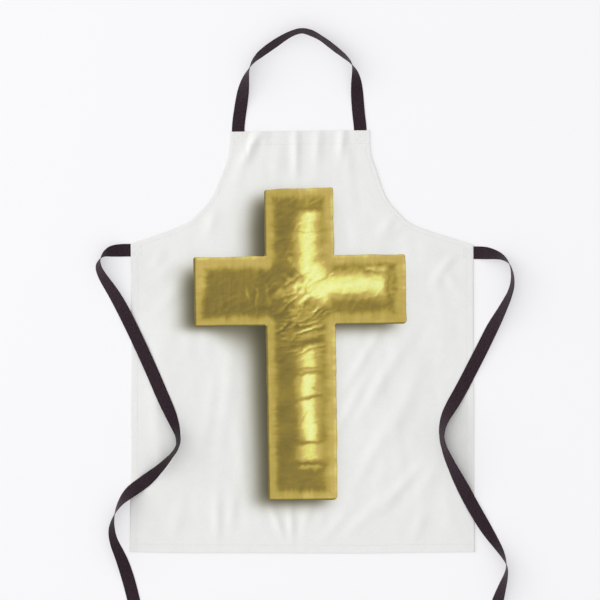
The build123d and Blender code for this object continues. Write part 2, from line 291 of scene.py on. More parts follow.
def cloth_front(x, y):
    """Height of the canvas's front: flat hems at the edges, and between them the resting height
    with folds and a slow unevenness; a dip along each stitch row, small puckers outside it, and
    an edge that rolls down."""
    side = np.minimum(x - edge_x("left", y), edge_x("right", y) - x)
    arm = armhole_distance(x, y) + 0.5 * np.clip(UNDERARM - y, 0, 1)
    to_row = np.stack([TOP - y - TOP_ROW, y - BOTTOM - BOTTOM_ROW,
                       np.where(y < UNDERARM, side - SIDE_ROW, 1),
                       np.where(y < TOP - TOP_ROW, arm - ARM_ROW, 1)])
    inward = to_row.min(0)
    settle = step(-3 * MM, 45 * MM, inward)
    z = FRONT * (1 - settle) + REST_HEIGHT * settle
    # Between the straps nothing holds the top hem flat, so the folds run on through it.
    between_straps = step(NECK_HALF - 8 * MM, NECK_HALF - 24 * MM, np.abs(x - BIB_MIDDLE))
    loose = np.maximum(0.25 + 0.75 * settle, 0.85 * between_straps * (TOP - y < 0.12))
    slow = 1.5 * noise(x, y * 0.7, 0.090, 1) + 0.65 * noise(x + 0.3 * y, y * 0.5, 0.042, 2)
    streaks = 0.36 * noise(x + 0.12 * y, y * 0.16, 0.017, 10) + 0.30 * noise(x - 0.35 * y, y * 0.2, 0.024, 12)
    fine = noise(x, y, 0.014, 3) + 0.6 * noise(x + 0.4 * y, y, 0.007, 4)
    z += settle * MM * (slow + streaks + 0.06 * fine) + fold_relief(x, y) * loose
    z -= STITCH_DIP * np.exp(-(inward / (1.6 * MM))**2)
    rim = np.minimum(np.minimum(TOP - y, y - BOTTOM), np.where(y < UNDERARM, side, arm))
    z -= RIM_ROLL * np.exp(-(np.clip(rim, 0, 1) / (1.8 * MM))**2)
    uneven = noise(x, y, 0.006, 8) + 0.5 * noise(x, y, 0.013, 9)
    z += PUCKER * uneven * step(6 * MM, -2 * MM, inward)
    return np.maximum(z, CLOTH + 0.25 * MM)


# %% [markdown]
# ## Webbing
#
# The straps are one-inch webbing: a flat woven tape that bends easily one way and hardly at all
# the other. So to turn a corner on the table it rolls up on its edge, and its face shows narrower
# there. Each strap is a line of places with the tape's tilt at each. A smooth spline runs along
# the places, and the tape is a flat oval carried along the spline.

# %% The straps' routes
# Neck strap: share of half the distance between its legs, height above the top hem, tilt.
NECK_ROUTE = [
    (-1, 0.0003, 0), (-1, 0.008, 0), (-0.985, 0.026, 0), (-0.955, 0.050, 4), (-0.922, 0.076, 22),
    (-0.884, 0.101, 52), (-0.841, 0.119, 80), (-0.763, 0.1375, 102), (-0.651, 0.151, 120),
    (-0.523, 0.163, 126), (-0.392, 0.174, 126), (-0.256, 0.185, 120), (-0.111, 0.1945, 114),
    (0.045, 0.200, 112), (0.206, 0.1945, 117), (0.354, 0.1845, 112), (0.49, 0.1725, 115),
    (0.618, 0.160, 114), (0.746, 0.148, 108), (0.861, 0.134, 93), (0.919, 0.116, 60),
    (0.939, 0.094, 31), (0.952, 0.066, 8), (0.974, 0.033, 0), (1, 0.008, 0), (1, 0.0003, 0),
]
# Waist ties: across and up from the underarm corner, tilt.
LEFT_TIE_ROUTE = [
    (0, -0.012, 0), (-0.0205, -0.012, 6), (-0.0405, -0.014, 34), (-0.0585, -0.023, 82),
    (-0.0665, -0.041, 116), (-0.060, -0.060, 132), (-0.038, -0.0925, 151), (-0.023, -0.118, 165),
    (-0.0085, -0.146, 178), (0.016, -0.197, 180), (0.041, -0.252, 180), (0.0635, -0.305, 184),
    (0.0815, -0.344, 212), (0.0945, -0.381, 247), (0.0935, -0.402, 255), (0.081, -0.420, 250),
    (0.054, -0.449, 226), (0.0225, -0.4755, 184), (-0.0005, -0.491, 158), (-0.021, -0.512, 118),
    (-0.034, -0.537, 90), (-0.0395, -0.564, 64), (-0.0355, -0.590, 50), (-0.019, -0.625, 28),
    (-0.0065, -0.663, 5), (0.0035, -0.701, 0), (0.012, -0.741, 0), (0.0195, -0.781, 0),
    (0.025, -0.817, 0),
]
RIGHT_TIE_ROUTE = [
    (0, -0.017, 0), (0.0185, -0.017, 6), (0.0375, -0.0195, 36), (0.0565, -0.025, 63),
    (0.071, -0.038, 88), (0.0765, -0.058, 99), (0.077, -0.078, 107), (0.072, -0.098, 115),
    (0.0555, -0.132, 133), (0.0365, -0.167, 160), (0.019, -0.203, 172), (-0.008, -0.256, 180),
    (-0.0285, -0.295, 179), (-0.0475, -0.327, 156), (-0.057, -0.3445, 136), (-0.063, -0.3635, 120),
    (-0.0645, -0.383, 111), (-0.060, -0.4035, 115), (-0.0445, -0.440, 136), (-0.0075, -0.511, 180),
    (0.0085, -0.539, 186), (0.0225, -0.5625, 200), (0.0335, -0.5795, 216), (0.0555, -0.6125, 242),
    (0.066, -0.6375, 270), (0.0645, -0.656, 286), (0.0555, -0.683, 309), (0.0445, -0.719, 338),
    (0.0355, -0.760, 360), (0.0295, -0.801, 360),
]


# %% A smooth line through a route
def smooth_line(name, places):
    """The points of a NURBS spline with the given places as its control points, and where along
    the list of places each point lies."""
    curve = bpy.data.curves.new(name, "CURVE")
    curve.dimensions = "3D"
    curve.resolution_u = 10
    spline = curve.splines.new("NURBS")
    spline.points.add(len(places) - 1)
    for point, place in zip(spline.points, places):
        point.co = (*place, 1)
    spline.order_u = 3
    spline.use_endpoint_u = True
    holder = bpy.data.objects.new(name, curve)
    bpy.context.scene.collection.objects.link(holder)
    mesh = bpy.data.meshes.new_from_object(holder)
    line = np.array([v.co for v in mesh.vertices])
    bpy.data.objects.remove(holder)
    bpy.data.meshes.remove(mesh)
    count = len(places)
    knots = np.r_[0, np.arange(count - 2) + 0.5, count - 2]
    return line, np.interp(np.linspace(0, count - 2, len(line)), knots, np.arange(count))


def travelled_along(line):
    """How far one has come at each point of a line."""
    return np.r_[0, np.cumsum(np.linalg.norm(np.diff(line, axis=0), axis=1))]


def directions(line):
    """The unit direction of travel in plan at each point of a line."""
    along = np.gradient(line[:, :2], axis=0)
    return along / np.linalg.norm(along, axis=1)[:, None]


# %% What a tie lies on
FREE_LENGTH = 100 * MM       # before this a tie has not come back over the panel
RAMP = 22 * MM               # it climbs onto the panel's edge over this length
CLEAR = 0.25 * MM            # air between the tape and the cloth


def ground_under(line, tilt):
    """Height of what the tape lies on at each point: the table at 0, or the highest canvas under
    its width, with a short ramp up to the panel's edge, evened out along the tape."""
    along = directions(line)
    right = np.c_[along[:, 1], -along[:, 0]]
    half = TAPE_WIDTH / 2 * np.abs(np.cos(tilt))
    travelled = travelled_along(line[:, :2])
    heights = []
    for share in np.linspace(-1, 1, 7):
        x, y = (line[:, :2] + right * (share * half)[:, None]).T
        inside = np.minimum(np.minimum(x - edge_x("left", y), edge_x("right", y) - x), y - BOTTOM)
        climb = step(-RAMP, -1.5 * MM, inside)
        heights.append(climb * (cloth_front(x, y) + CLEAR))
    top = np.max(heights, axis=0) * (travelled > FREE_LENGTH)
    top = np.max([np.roll(top, k) for k in range(-4, 5)], axis=0)
    return np.convolve(np.pad(top, 4, mode="edge"), np.ones(9) / 9, mode="valid")


# %% The tape itself
SECTION_POINTS = 20


def weave_place(obj, along_across):
    """Gives each point its place on the fabric, in metres along and across, for its weave."""
    flat = np.c_[along_across, np.zeros(len(along_across))]
    layer = obj.data.attributes.new("on_fabric", "FLOAT_VECTOR", "POINT")
    layer.data.foreach_set("vector", flat.ravel().astype(np.float32))


def tape_mesh(name, line, tilt, base):
    """A tape along a line. Its section is a flattened oval with square-ish edges (a superellipse),
    turned by the tilt; its lower edge stands on the base height. Returns the object and the path
    of the section's middle."""
    along = directions(line)
    right = np.c_[along[:, 1], -along[:, 0], np.zeros(len(line))]
    up = np.array([0.0, 0.0, 1.0])
    c, s = np.cos(tilt)[:, None], np.sin(tilt)[:, None]
    width_way, face_way = right * c + up * s, up * c - right * s
    rise = np.abs(TAPE_WIDTH / 2 * s) + np.abs(TAPE_THICK / 2 * c)
    path = np.c_[line[:, :2], base + rise[:, 0]]
    t = 2 * math.pi * (np.arange(SECTION_POINTS) + 0.5) / SECTION_POINTS
    across = np.sign(np.cos(t)) * np.abs(np.cos(t))**0.35 * TAPE_WIDTH / 2
    thick = np.sign(np.sin(t)) * np.abs(np.sin(t))**0.5 * TAPE_THICK / 2
    ring = path[:, None] + width_way[:, None] * across[:, None] + face_way[:, None] * thick[:, None]
    count = len(line)
    faces = grid_faces(count, SECTION_POINTS, wrap=True)
    half = SECTION_POINTS // 2
    k = np.arange(half - 1)
    cap = np.stack([k, k + 1, SECTION_POINTS - 2 - k, SECTION_POINTS - 1 - k], axis=-1)
    faces = np.concatenate([faces, cap[:, ::-1], cap + (count - 1) * SECTION_POINTS])
    obj = make_mesh(name, ring.reshape(-1, 3), faces)
    u = np.repeat(travelled_along(path)[:, None], SECTION_POINTS, 1)
    v = np.repeat(across[None], count, 0)
    weave_place(obj, np.stack([u.ravel(), v.ravel()], axis=-1))
    return obj, path


# %% Waist ties
ties, tips = {}, {}
for side, route in (("left", LEFT_TIE_ROUTE), ("right", RIGHT_TIE_ROUTE)):
    places = [(CORNER[side] + x, UNDERARM + y, 0) for x, y, _ in route]
    line, at = smooth_line(f"{side}_tie_route", places)
    tilt = np.radians(np.interp(at, np.arange(len(route)), [t for *_, t in route]))
    tie, path = tape_mesh(f"waist_tie_{side}_webbing", line, tilt, ground_under(line, tilt))
    ties[side] = (tie, path)

# %% [markdown]
# The tips of the ties are turned over once and sewn down, so that they don't fray. Nothing else
# is on them.

# %% Turned-over tips
TIP_LENGTH, TABLE_GAP = 21 * MM, 0.02 * MM
for side, (tie, path) in ties.items():
    back = path[-12:][::-1]
    fold = back[travelled_along(back) < TIP_LENGTH]
    tips[side], _ = tape_mesh(f"tie_tip_{side}_turned_over", fold, np.zeros(len(fold)),
                              fold[:, 2] + TAPE_THICK / 2 + TABLE_GAP)

# %% [markdown]
# The neck strap is one length. It runs on from its arch into two short ends, which are sewn
# under the top hem. The ties have short ends of their own under the side hems.

# %% Neck strap
STRAP_SEWN = 22 * MM
route = [(-1, -STRAP_SEWN, 0)] + NECK_ROUTE + [(1, -STRAP_SEWN, 0)]
places = [(BIB_MIDDLE + share * NECK_HALF, TOP + y, 0) for share, y, _ in route]
line, at = smooth_line("neck_route", places)
tilt = np.radians(np.interp(at, np.arange(len(route)), [t for *_, t in route]))
neck_strap, _ = tape_mesh("neck_strap_webbing", line, tilt, np.full(len(line), TABLE_GAP))

# %% Sewn ends of the ties
tie_ends = {}
level = np.zeros(8)
for side, _ in SIDES:
    low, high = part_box(f"waist_tie_end_{side}")
    end_line = np.c_[np.linspace(low.x, high.x, 8), level + (low.y + high.y) / 2, level]
    tie_ends[side], _ = tape_mesh(f"waist_tie_end_{side}_webbing", end_line, level, level + TABLE_GAP)

# %% [markdown]
# ## The panel
#
# The panel is one piece of canvas. It is a grid whose rows run across the apron at a constant
# height. Near the hems the lines lie a millimetre or so apart, because the stitch rows press
# grooves into the cloth there. In the middle they can be wider. The back is the same grid, one
# cloth's thickness lower, and a wall closes the rim.


# %% Grid lines of the panel
def spaced(start, stop, gap):
    """Evenly spaced numbers from start up to but not including stop."""
    return np.linspace(start, stop, max(2, int(round(abs(stop - start) / gap)) + 1))[:-1]


def lean(x, y):
    """Cloth never lies quite square. The top hem rises a little towards the right, and the bottom
    hem sags in its middle. Gives how far a place moves up."""
    near_top = step(0.20, 0.0, TOP - y)
    near_bottom = step(0.20, 0.0, y - BOTTOM)
    sag = -2.6 * MM * (1 - (x / 0.345)**2) + 0.9 * MM + 0.5 * MM * noise(x, 0 * x, 0.12, 21)
    return near_top * 3.0 * MM * (x - BIB_MIDDLE) / 0.279 + near_bottom * sag


# Down from the top hem: fine at both hems and round the underarm corners.
down = np.concatenate([spaced(0, 0.030, 1.1 * MM), spaced(0.030, 0.180, 4.6 * MM),
                       spaced(0.180, 0.232, 1.3 * MM), spaced(0.232, 0.816, 5.2 * MM),
                       spaced(0.816, TOP - BOTTOM, 1.1 * MM), [TOP - BOTTOM]])
row_y = TOP - down
left_x, right_x = edge_x("left", row_y), edge_x("right", row_y)
near = np.concatenate([spaced(0, 0.018, 1.2 * MM), [0.018, 0.0215]])     # in from each side
middle = np.linspace(0, 1, 146)[1:-1]                                     # shares of the rest


def stretch(edge):
    """Where an edge runs almost level, lines beside it have to spread to stay on its hem."""
    slope = np.abs(np.gradient(edge, row_y))
    wide = np.clip(np.sqrt(1 + slope**2), 1, 2.6)
    return np.convolve(np.pad(wide, 3, mode="edge"), np.ones(7) / 7, mode="valid")[:, None]


from_left = left_x[:, None] + near * stretch(left_x)
from_right = right_x[:, None] - near * stretch(right_x)
between = from_left[:, -1:] + (from_right[:, -1:] - from_left[:, -1:]) * middle
panel_x = np.hstack([from_left, between, from_right[:, ::-1]])
panel_y = np.repeat(row_y[:, None], panel_x.shape[1], 1)
panel_z = cloth_front(panel_x, panel_y)
panel_lean = lean(panel_x, panel_y)
panel = slab("front_panel_canvas", panel_x, panel_y + panel_lean, panel_z, panel_z - CLOTH)

# %% [markdown]
# ## Hems
#
# Every edge is turned under and sewn down. From above a hem shows as a flat band with a stitch
# row along its inner side. Underneath it is a separate layer. It leaves room for the sewn ends of
# the straps, which are caught between the hem and the panel.


# %% One hem layer
HEM_MARGIN, TUCK = 2 * MM, 0.4 * MM      # past the stitch row, and in from the panel's edge
ROOM, PLY_GAP = 2.5 * MM, 0.08 * MM      # round a sewn end, and between the layers
STRAP_ENDS = [f"{strap}_end_{side}" for strap in ("neck_strap", "waist_tie") for side, _ in SIDES]


def hem(name, x, y):
    """A folded-under layer below the panel over a grid of places, open where a strap is sewn in."""
    top = cloth_front(x, y) - CLOTH - PLY_GAP
    bottom = np.full(x.shape, 0.10 * MM)
    mid_x, mid_y = (x[:-1, :-1] + x[1:, 1:]) / 2, (y[:-1, :-1] + y[1:, 1:]) / 2
    keep = np.ones(mid_x.shape, bool)
    for end in STRAP_ENDS:
        low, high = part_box(end)
        inside = ((mid_x > low.x - ROOM) & (mid_x < high.x + ROOM)
                  & (mid_y > low.y - ROOM) & (mid_y < high.y + ROOM))
        keep &= ~inside
    return slab(name, x, y + lean(x, y), np.maximum(top, bottom + 0.3 * MM), bottom, keep)


def level_hem(name, heights, columns):
    """A hem layer from side to side, between the heights given row by row from the top."""
    across = np.linspace(0, 1, columns)
    y = heights[:, None] + 0 * across
    left, right = edge_x("left", y), edge_x("right", y)
    return hem(name, left + TUCK + (right - left - 2 * TUCK) * across, y)


# %% All the hems
hems = {
    "top_hem_fold": level_hem("top_hem_canvas", TOP - np.linspace(TUCK, TOP_ROW + HEM_MARGIN, 14), 140),
    "bottom_hem_fold": level_hem("bottom_hem_canvas",
                                 BOTTOM + np.linspace(BOTTOM_ROW + HEM_MARGIN, TUCK, 8), 200),
}
inward_lines = {}
for side, sign in SIDES:
    low_end = BOTTOM + BOTTOM_ROW + HEM_MARGIN + 0.5 * MM
    y = np.linspace(UNDERARM - 6 * MM, low_end, 240)[:, None]
    inset = np.linspace(TUCK, SIDE_ROW + HEM_MARGIN, 8)
    inset = inset if sign < 0 else inset[::-1]
    y = y + 0 * inset
    x = edge_x(side, y) - sign * inset
    hems[f"side_hem_fold_{side}"] = hem(f"side_hem_canvas_{side}", x, y)
    curve = armhole(side)
    curve = np.c_[BIB_MIDDLE + sign * curve[:, 0], TOP + curve[:, 1]]
    way = np.gradient(curve, axis=0)
    way /= np.linalg.norm(way, axis=1)[:, None]
    inward = sign * np.c_[way[:, 1], -way[:, 0]]
    inward_lines[side] = (curve, inward)
    below_top_hem = curve[:, 1] < TOP - TOP_ROW - HEM_MARGIN - 1 * MM
    keep = below_top_hem & (np.abs(curve[:, 0] - curve[-1, 0]) > 16 * MM)
    inset = np.linspace(TUCK, ARM_ROW + HEM_MARGIN, 6)
    inset = inset if sign < 0 else inset[::-1]
    x, y = np.moveaxis(curve[keep][:, None] + inward[keep][:, None] * inset[:, None], -1, 0)
    hems[f"armhole_hem_fold_{side}"] = hem(f"armhole_hem_canvas_{side}", x, y)

# %% [markdown]
# ## Stitches
#
# A lockstitch row is a string of short threads that dive into the cloth at each end. A single
# one is a small rounded bar, and every row is a copy of it placed again and again. A real stitch
# is 3 mm long and 0.8 mm wide.

# %% One stitch, and rows of them
STITCH, PITCH = 3.0 * MM, 3.5 * MM
THREAD_WIDE, THREAD_HIGH = 0.8 * MM, 0.4 * MM
RINGS, AROUND = 5, 6
CAP = np.array([[0, 1, 2, 3], [0, 3, 4, 5]])


def stitches(name, rows, seed):
    """Stitches along each row, a row being an array of points. A stitch has five rings of six
    points: thin at its ends, which sink into the cloth, and round in its middle."""
    heads, tails = [], []
    for row in rows:
        travelled = travelled_along(row)
        count = max(1, int(travelled[-1] / PITCH))
        middle_at = (np.arange(count) + 0.5) * travelled[-1] / count
        for ends, offset in ((heads, -STITCH / 2), (tails, STITCH / 2)):
            ends.append(np.stack([np.interp(middle_at + offset, travelled, c) for c in row.T], axis=-1))
    head, tail = np.concatenate(heads), np.concatenate(tails)
    wander = np.random.default_rng(seed).normal(0, 0.10 * MM, (2, len(head), 2))
    head[:, :2] += wander[0]
    tail[:, :2] += wander[1]
    way = tail - head
    side = np.c_[-way[:, 1], way[:, 0], 0 * way[:, 0]] / np.linalg.norm(way[:, :2], axis=1)[:, None]
    share = np.array([0, 0.12, 0.5, 0.88, 1])[None, :, None, None]
    girth = np.array([0.3, 0.85, 1, 0.85, 0.3])[None, :, None, None]
    sink = np.array([-0.22, 0.02, 0.08, 0.02, -0.22])[None, :, None, None] * MM
    angle = (np.arange(AROUND) * math.pi / 3)[None, None, :, None]
    up = np.array([0, 0, 1.0])
    points = (head[:, None, None] + way[:, None, None] * share
              + side[:, None, None] * np.cos(angle) * girth * THREAD_WIDE / 2
              + up * (np.sin(angle) * girth * THREAD_HIGH / 2 + sink))
    one = np.concatenate([grid_faces(RINGS, AROUND, wrap=True)[:, ::-1], CAP,
                          CAP[:, ::-1] + (RINGS - 1) * AROUND])
    faces = one[None] + RINGS * AROUND * np.arange(len(head))[:, None, None]
    return make_mesh(name, points, faces)


def on_cloth(x, y):
    """Points on the canvas's front."""
    x, y = np.broadcast_arrays(np.asarray(x, float), np.asarray(y, float))
    return np.stack([x, y + lean(x, y), cloth_front(x, y) + 0.12 * MM], axis=-1)


# %% Hem rows
def level_row(y, count):
    """A row of places across the panel at one height, 2 mm short of its sides."""
    return on_cloth(np.linspace(edge_x("left", y) + 2 * MM, edge_x("right", y) - 2 * MM, count), y)


seams = {
    "top_hem_stitching": stitches("top_hem_stitches", [level_row(TOP - TOP_ROW, 200)], 31),
    "bottom_hem_stitching": stitches("bottom_hem_stitches", [level_row(BOTTOM + BOTTOM_ROW, 400)], 32),
}
for number, (side, sign) in enumerate(SIDES):
    y = np.linspace(UNDERARM - 8 * MM, BOTTOM + 2 * MM, 400)
    row = on_cloth(edge_x(side, y) - sign * SIDE_ROW, y)
    seams[f"side_hem_stitching_{side}"] = stitches(f"side_hem_stitches_{side}", [row], 33 + number)
    curve, inward = inward_lines[side]
    keep = (curve[:, 1] < TOP - TOP_ROW) & (np.abs(curve[:, 0] - curve[-1, 0]) > 10 * MM)
    row = on_cloth(*(curve + inward * ARM_ROW)[keep].T)
    seams[f"armhole_stitching_{side}"] = stitches(f"armhole_stitches_{side}", [row], 35 + number)

# %% [markdown]
# Each strap end is held by a box of stitches with a cross in it, the usual way of sewing down
# webbing. It spreads the pull over the whole end.

# %% Boxes with crosses
TACK = 19 * MM


def box_and_cross(middle_x, middle_y):
    """The six straight rows of a box with a cross in it, lying on the canvas."""
    h = TACK / 2
    corners = [(-h, -h), (h, -h), (h, h), (-h, h)]
    pairs = [(0, 1), (1, 2), (2, 3), (3, 0), (0, 2), (1, 3)]
    share = np.linspace(0, 1, 12)
    rows = []
    for a, b in pairs:
        (ax, ay), (bx, by) = corners[a], corners[b]
        rows.append(on_cloth(middle_x + ax + (bx - ax) * share, middle_y + ay + (by - ay) * share))
    return rows


tacks = {}
for number, end in enumerate(("neck_left", "neck_right", "tie_left", "tie_right")):
    node = end.replace("_", "_tack_")
    rows = box_and_cross(middle_of(node).x, middle_of(node).y)
    tacks[node] = stitches(f"{end}_box_stitches", rows, 41 + number)

# %% Row across each tip
tip_seams = {}
for number, (side, (tie, path)) in enumerate(ties.items()):
    back = path[::-1]
    place = back[np.searchsorted(travelled_along(back)[1:], 15 * MM)]
    reach = np.linspace(-TAPE_WIDTH / 2 + 2 * MM, TAPE_WIDTH / 2 - 2 * MM, 8)
    row = place + np.stack([reach, 0 * reach, 0 * reach + 1.5 * TAPE_THICK + 0.1 * MM], axis=-1)
    tip_seams[side] = stitches(f"tie_tip_{side}_stitches", [row], 51 + number)

# %% [markdown]
# ## The printed cross
#
# The cross is printed on the canvas in golds, so its light and dark are in the ink: it looks
# like a crumpled, padded foil cross that is lit from above, with a shadow printed beside it. It
# is a thin layer that follows the cloth under it. Its colours are worked out point by point from
# the distance to its outline, soft strokes of light and crumpled noise, and looked up in one
# scale from dark olive to pale gold.

# %% Shape of the cross
# From the middle of the crossing: half a bar's width, the arms, the head and the foot.
HALF_BAR, REACH, HEAD, FOOT = 69 * MM, 210.5 * MM, 203 * MM, 416 * MM
TURN = math.radians(0.85)
cross_middle = middle_of("cross_print")
above_middle = (FOOT - HEAD) / 2
crossing = (cross_middle.x - math.sin(TURN) * above_middle,
            cross_middle.y + math.cos(TURN) * above_middle)
print(f"the bars cross at {crossing[0]:.4f}, {crossing[1]:.4f}")


def to_cross(x, y):
    """Places in the cross's own frame: across to its right and up, from the crossing's middle."""
    dx, dy = x - crossing[0], y - crossing[1]
    return dx * math.cos(TURN) + dy * math.sin(TURN), dy * math.cos(TURN) - dx * math.sin(TURN)


def round_corner(a, b, radius):
    """Squeezes a square corner into a round one. a and b are distances in from its two edges."""
    u, v = np.clip(1 - a / radius, 0, None), np.clip(1 - b / radius, 0, None)
    near = (u > 0) & (v > 0) & (u <= 1.001) & (v <= 1.001)
    new_a = np.where(near, (1 - u * np.sqrt(np.clip(1 - v**2 / 2, 0, 1))) * radius, a)
    new_b = np.where(near, (1 - v * np.sqrt(np.clip(1 - u**2 / 2, 0, 1))) * radius, b)
    return new_a, new_b


# %% Grid of the cross
CELL = 1.8 * MM
grid_across = np.concatenate([spaced(-REACH, -HALF_BAR, CELL), spaced(-HALF_BAR, HALF_BAR, CELL),
                              spaced(HALF_BAR, REACH, CELL), [REACH]])
grid_up = np.concatenate([spaced(HEAD, HALF_BAR, CELL), spaced(HALF_BAR, -HALF_BAR, CELL),
                          spaced(-HALF_BAR, -FOOT, CELL), [-FOOT]])
gx, gy = np.meshgrid(grid_across, grid_up)
mid_x, mid_y = (gx[:-1, :-1] + gx[1:, 1:]) / 2, (gy[:-1, :-1] + gy[1:, 1:]) / 2
keep = (np.abs(mid_x) < HALF_BAR) | (np.abs(mid_y) < HALF_BAR)

# %% Its round corners and uneven edges
# The corners of one side: how far out, whether up or down, and how far that way.
BAR_ENDS = [(REACH, 1, HALF_BAR), (REACH, -1, HALF_BAR), (HALF_BAR, 1, HEAD), (HALF_BAR, -1, FOOT)]
HAIR = 1e-9                              # forgives rounding
for sx in (-1, 1):
    for out, sy, limit in BAR_ENDS:
        radius = 9 * MM if (sx > 0 and sy < 0) else 5 * MM
        on_bar = (sx * gx <= out + HAIR) & (sy * gy <= limit + HAIR)
        a, b = round_corner(out - sx * gx, limit - sy * gy, radius)
        only = on_bar & ((out == REACH) | (np.abs(gy) > HALF_BAR + radius))
        gx = np.where(only, sx * (out - a), gx)
        gy = np.where(only, sy * (limit - b), gy)
WOBBLE, HEAD_RISE = 1.0 * MM, 1.1 * MM   # the head's edge rises towards the right
wx = gx + WOBBLE * (noise(gy, gx * 0.3, 0.030, 61) + 0.5 * noise(gy, gx * 0.3, 0.010, 62))
wy = gy + WOBBLE * (noise(gx, gy * 0.3, 0.030, 63) + 0.5 * noise(gx, gy * 0.3, 0.010, 64))
wy = wy + HEAD_RISE * gx / HALF_BAR * step(HEAD - 20 * MM, HEAD, gy)
cross_x = crossing[0] + wx * math.cos(TURN) - wy * math.sin(TURN)
cross_y = crossing[1] + wx * math.sin(TURN) + wy * math.cos(TURN)
INK_TOP, INK = 0.2 * MM, 0.12 * MM       # over the cloth, and the layer's own thickness
ink_top = cloth_front(cross_x, cross_y) + INK_TOP
cross = slab("cross_gold_print", cross_x, cross_y + lean(cross_x, cross_y), ink_top, ink_top - INK, keep)

# %% [markdown]
# The gold is a scale of a few tones. Real foil has hardly any middle tones: it mirrors either
# something bright or something dark. The print copies that, which is why the strokes of light
# have quick edges.


# %% Colour tools
def linear(hex_colour):
    """The linear red, green and blue of an sRGB colour written as hex."""
    s = np.array([int(hex_colour[k:k + 2], 16) for k in (0, 2, 4)]) / 255
    return np.where(s <= 0.04045, s / 12.92, ((s + 0.055) / 1.055)**2.4)


GOLD_TONES = [(-0.35, "5A5440"), (-0.15, "6F6645"), (0.0, "786A30"), (0.15, "84743A"), (0.35, "96823C"),
              (0.5, "AA9748"), (0.65, "BBA556"), (0.76, "C8B066"), (0.87, "DED870"), (1.0, "ECEF9E")]


def gold(shine):
    """The colour of the print for a shine from about -0.35, its darkest edge, to 1, its light."""
    at = [tone for tone, _ in GOLD_TONES]
    table = np.array([linear(colour) for _, colour in GOLD_TONES])
    return np.stack([np.interp(shine, at, table[:, k]) for k in range(3)], axis=-1)


def stroke(x, y, x0, y0, x1, y1, width, soft_ends):
    """A soft stroke of light from one place to another: full along its middle, with quick edges."""
    length = math.hypot(x1 - x0, y1 - y0)
    ux, uy = (x1 - x0) / length, (y1 - y0) / length
    along, across = (x - x0) * ux + (y - y0) * uy, (y - y0) * ux - (x - x0) * uy
    body = step(-soft_ends, soft_ends, along) * step(-soft_ends, soft_ends, length - along)
    return body * np.exp(-(np.abs(across) / (width / 1.67))**2.6)


# %% Creases of the foil
def creases(x, y, turn, length, width, seed):
    """Creases in one direction, as a height: a noise stretched along the direction and folded at
    zero, which leaves a sharp valley line between smooth swellings."""
    c, s = math.cos(math.radians(turn)), math.sin(math.radians(turn))
    u, v = (x * c + y * s) * width / length, y * c - x * s
    return np.abs(noise(u, v, width, seed) + 0.35 * noise(u, v, width * 0.45, seed + 1))


def foil_height(x, y):
    """The crumpled foil: nearly level creases down the lower upright, slanting ones through the
    crossing and at the left of the upper upright, faint upright ones in the arms."""
    lower = step(-20 * MM, -70 * MM, y) * step(95 * MM, 75 * MM, np.abs(x))
    upper = step(30 * MM, 70 * MM, y)
    middle = np.exp(-(((x + 4 * MM) / (64 * MM))**2 + ((y + 22 * MM) / (70 * MM))**2)**1.3)
    left_arm, right_arm = step(-40 * MM, -90 * MM, x), step(50 * MM, 100 * MM, x)
    h = (0.15 + 0.85 * step(-150 * MM, -80 * MM, y)) * lower * (
        creases(x, y, 12, 0.040, 0.011, 101) + 0.6 * creases(x, y, -24, 0.030, 0.010, 103))
    h += 1.35 * middle * (creases(x, y, 38, 0.038, 0.015, 105) + 0.7 * creases(x, y, -35, 0.030, 0.013, 107))
    h += 0.45 * upper * (creases(x, y, 35, 0.026, 0.016, 109) + 0.5 * creases(x, y, 5, 0.040, 0.014, 111))
    h += 0.50 * left_arm * (creases(x, y, 84, 0.044, 0.016, 113) + 0.4 * creases(x, y, 30, 0.030, 0.012, 115))
    h += 0.35 * right_arm * (creases(x, y, 62, 0.036, 0.015, 117) + 0.7 * creases(x, y, 8, 0.050, 0.014, 119))
    return h


def crease_light(x, y):
    """Light on one side of each crease and dark on the other: how much the foil rises over a
    short way towards the upper left."""
    short = 1.2 * MM
    return foil_height(x - short, y + short) - foil_height(x + short, y - short)


